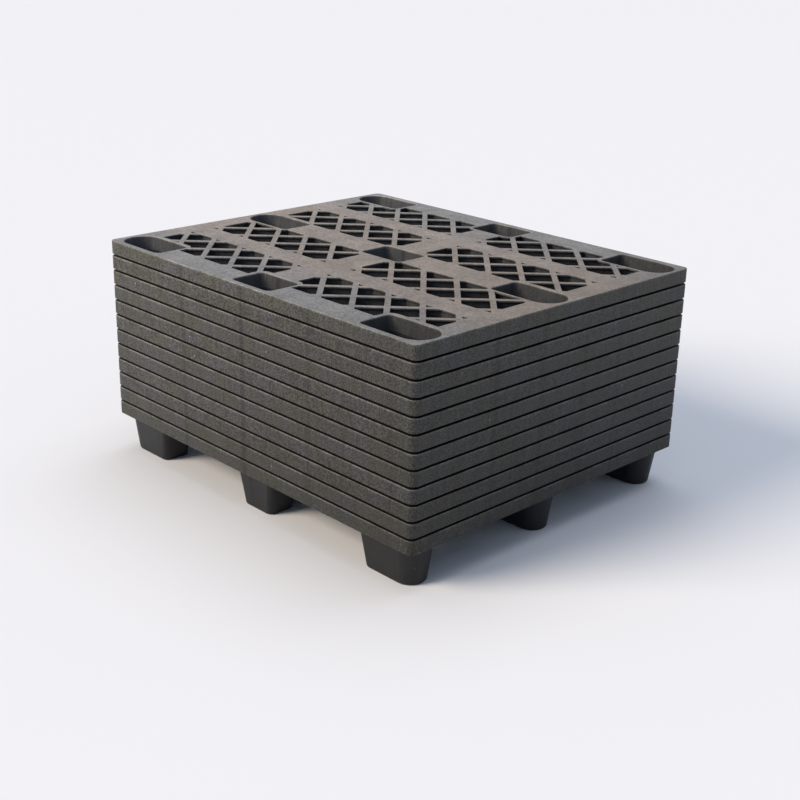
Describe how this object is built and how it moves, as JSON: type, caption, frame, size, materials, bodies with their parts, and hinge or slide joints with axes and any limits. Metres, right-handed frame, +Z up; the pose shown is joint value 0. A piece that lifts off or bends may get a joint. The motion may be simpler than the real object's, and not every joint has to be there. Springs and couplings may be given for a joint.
{
  "type": "nested stack of plastic pallets",
  "caption": "Nested stack of plastic pallets with lattice-window decks, deep rims and hollow tapered legs; each pallet lifts off the one below.",
  "frame": {"origin": "on the floor, under the middle of the stack", "axes": "+X along the deck's length, +Y along its width, +Z up"},
  "size_m": [1.2, 1, 0.6064],
  "materials": {
    "recycled_polyethylene": "moulded, fine grain, scuffed along the edges"
  },
  "bodies": {
    "pallet_01": {"pallet_01": "recycled_polyethylene"},
    "pallet_02": {"pallet_02": "recycled_polyethylene"},
    "pallet_03": {"pallet_03": "recycled_polyethylene"},
    "pallet_04": {"pallet_04": "recycled_polyethylene"},
    "pallet_05": {"pallet_05": "recycled_polyethylene"},
    "pallet_06": {"pallet_06": "recycled_polyethylene"},
    "pallet_07": {"pallet_07": "recycled_polyethylene"},
    "pallet_08": {"pallet_08": "recycled_polyethylene"},
    "pallet_09": {"pallet_09": "recycled_polyethylene"},
    "pallet_10": {"pallet_10": "recycled_polyethylene"},
    "pallet_11": {"pallet_11": "recycled_polyethylene"},
    "pallet_12": {"pallet_12": "recycled_polyethylene"}
  },
  "joints": [
    {"name": "lift_02", "type": "slide", "parent": "pallet_01", "child": "pallet_02", "axis": [0, 0, 1], "range_m": [0, 0.12]},
    {"name": "lift_03", "type": "slide", "parent": "pallet_02", "child": "pallet_03", "axis": [0, 0, 1], "range_m": [0, 0.12]},
    {"name": "lift_04", "type": "slide", "parent": "pallet_03", "child": "pallet_04", "axis": [0, 0, 1], "range_m": [0, 0.12]},
    {"name": "lift_05", "type": "slide", "parent": "pallet_04", "child": "pallet_05", "axis": [0, 0, 1], "range_m": [0, 0.12]},
    {"name": "lift_06", "type": "slide", "parent": "pallet_05", "child": "pallet_06", "axis": [0, 0, 1], "range_m": [0, 0.12]},
    {"name": "lift_07", "type": "slide", "parent": "pallet_06", "child": "pallet_07", "axis": [0, 0, 1], "range_m": [0, 0.12]},
    {"name": "lift_08", "type": "slide", "parent": "pallet_07", "child": "pallet_08", "axis": [0, 0, 1], "range_m": [0, 0.12]},
    {"name": "lift_09", "type": "slide", "parent": "pallet_08", "child": "pallet_09", "axis": [0, 0, 1], "range_m": [0, 0.12]},
    {"name": "lift_10", "type": "slide", "parent": "pallet_09", "child": "pallet_10", "axis": [0, 0, 1], "range_m": [0, 0.12]},
    {"name": "lift_11", "type": "slide", "parent": "pallet_10", "child": "pallet_11", "axis": [0, 0, 1], "range_m": [0, 0.12]},
    {"name": "lift_12", "type": "slide", "parent": "pallet_11", "child": "pallet_12", "axis": [0, 0, 1], "range_m": [0, 0.12]}
  ]
}
